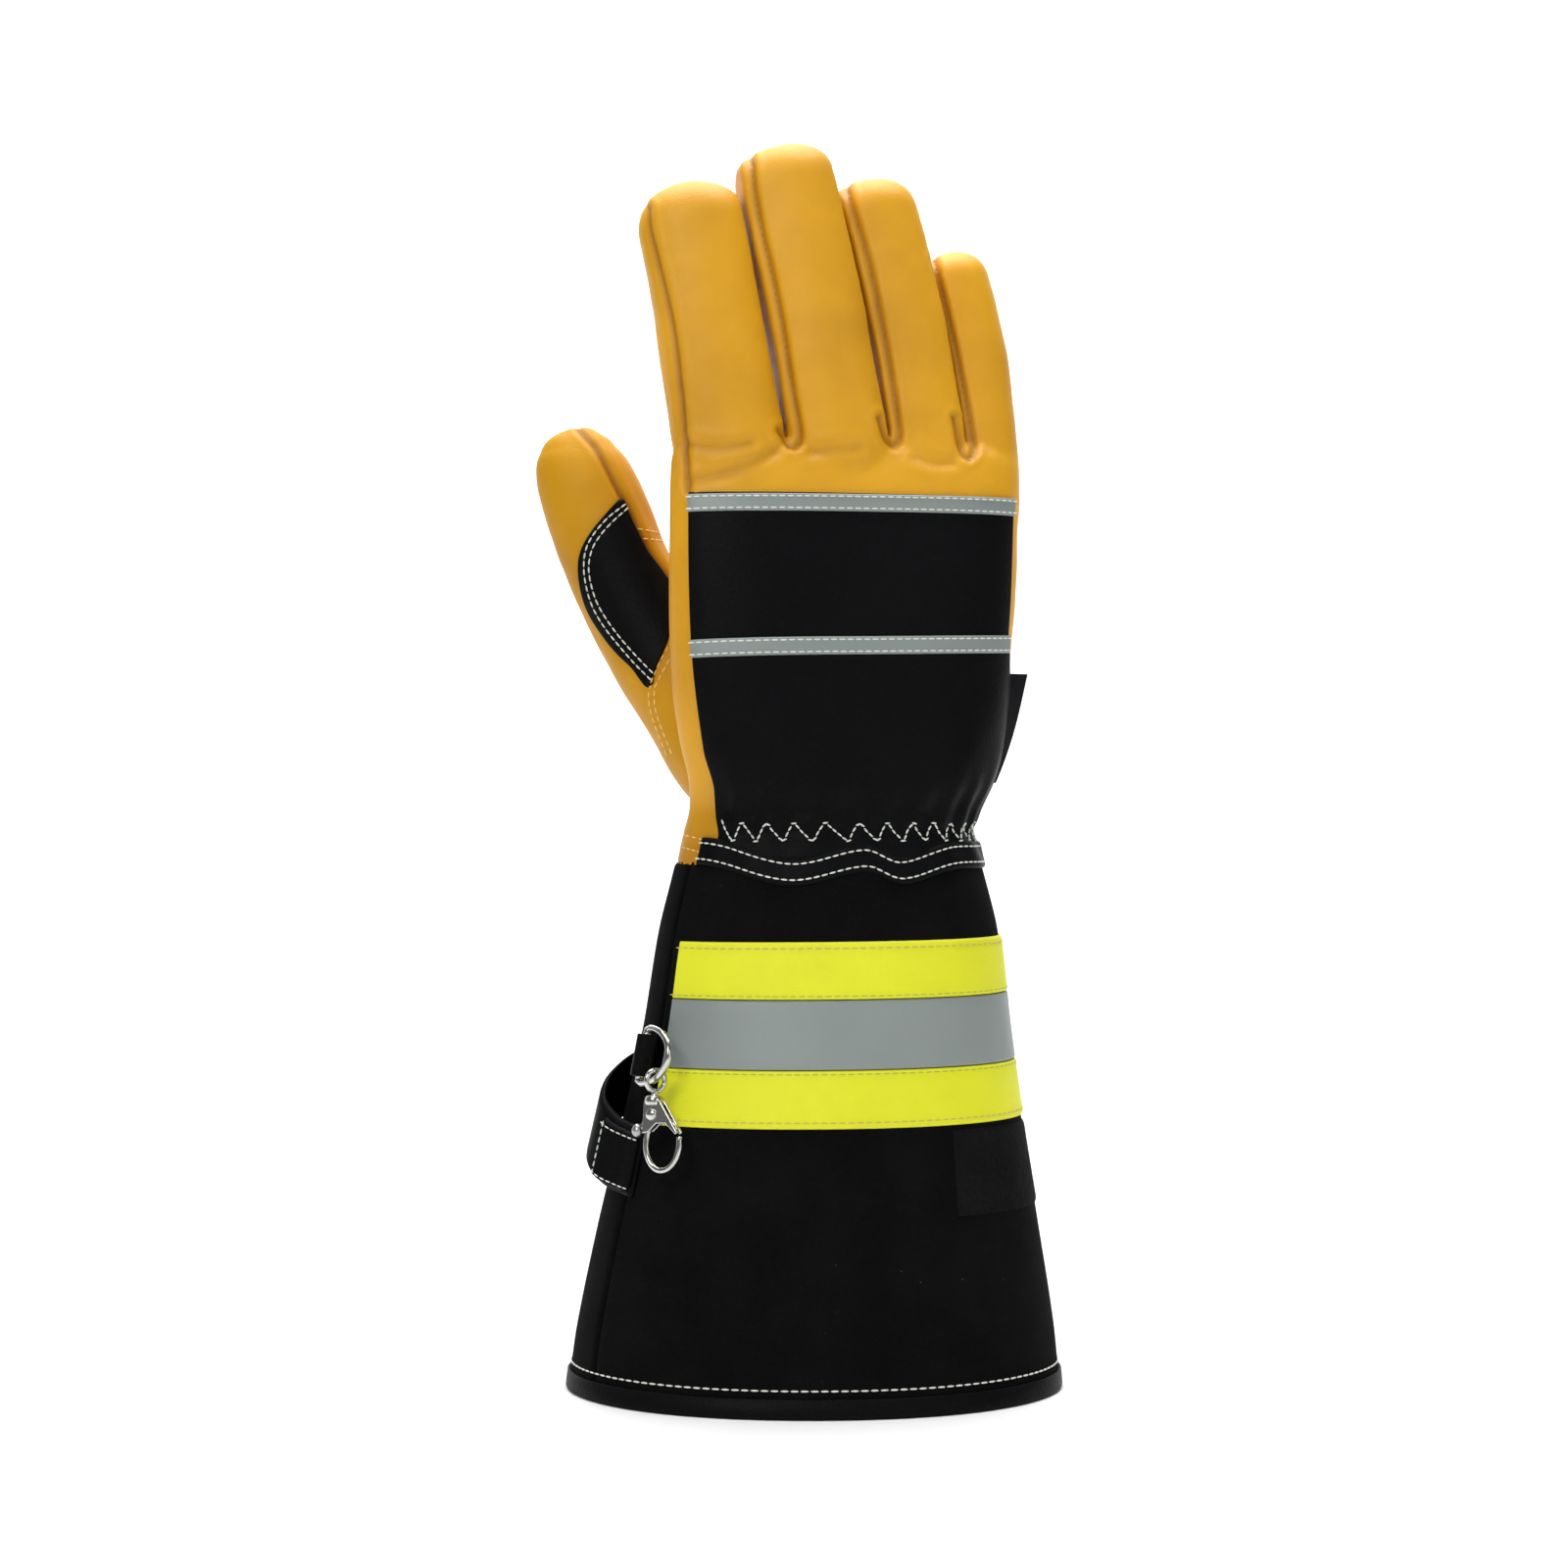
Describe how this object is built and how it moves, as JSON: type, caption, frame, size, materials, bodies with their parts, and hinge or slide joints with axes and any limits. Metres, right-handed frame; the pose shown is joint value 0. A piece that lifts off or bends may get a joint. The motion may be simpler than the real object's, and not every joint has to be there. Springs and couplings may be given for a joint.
{
  "type": "firefighter glove",
  "caption": "Right-hand structural firefighting glove in leather with a long flared suede gauntlet, a hi-vis band, an adjuster strap and a D-ring with a swivel snap hook.",
  "frame": {"origin": "middle of the bounding box, on the surface that the hem stands on", "axes": "+Z from the hem to the fingertips, +X towards the little-finger side, -X towards the thumb, -Y out of the back of the hand, +Y out of the palm"},
  "size_m": [0.1682, 0.1178, 0.3923],
  "materials": {
    "yellow_leather": "satin",
    "black_leather": "satin",
    "black_suede": "matt",
    "hi_vis_yellow": "matt",
    "silver_tape": "retroreflective",
    "loop_pile": "matt",
    "woven_label": "matt",
    "nickel": "polished"
  },
  "bodies": {
    "glove": {"palm_shell": "yellow_leather", "finger_backs": "yellow_leather", "fourchette_index_middle": "yellow_leather", "fourchette_middle_ring": "yellow_leather", "fourchette_ring_little": "yellow_leather", "thumb_shell": "yellow_leather", "thumb_patch": "black_leather", "back_panel": "black_leather", "strip_upper": "silver_tape", "strip_lower": "silver_tape", "wrist_band": "black_leather", "gauntlet_back": "black_suede", "gauntlet_palm": "black_suede", "tape_lower": "hi_vis_yellow", "tape_silver": "silver_tape", "tape_upper": "hi_vis_yellow", "hem_binding": "black_leather", "loop_pad": "loop_pile", "label_tab": "woven_label", "strap_loop": "black_leather", "strap_flap": "black_leather", "ring_tab": "black_leather"},
    "ring": {"d_ring": "nickel", "hook_eye": "nickel"},
    "hook": {"hook_body": "nickel", "hook_rivet": "nickel"},
    "gate": {"hook_gate": "nickel"}
  },
  "joints": [
    {"name": "d_ring_swing", "type": "hinge", "parent": "glove", "child": "ring", "pos_m": [-0.04757, -0.02834, 0.10662], "axis": [-0.1771, -0.0601, -0.9824], "range_deg": [-8, 63]},
    {"name": "hook_swivel", "type": "hinge", "parent": "ring", "child": "hook", "pos_m": [-0.04339, -0.0371, 0.09964], "axis": [0.0609, 0.1055, 0.9925], "range_deg": [-40, 25]},
    {"name": "gate_pivot", "type": "hinge", "parent": "hook", "child": "gate", "pos_m": [-0.04375, -0.03833, 0.08951], "axis": [0.4963, 0.8596, -0.1219], "range_deg": [0, 25], "stiffness_Nm_per_rad": 0.002, "springref_deg": -10}
  ]
}
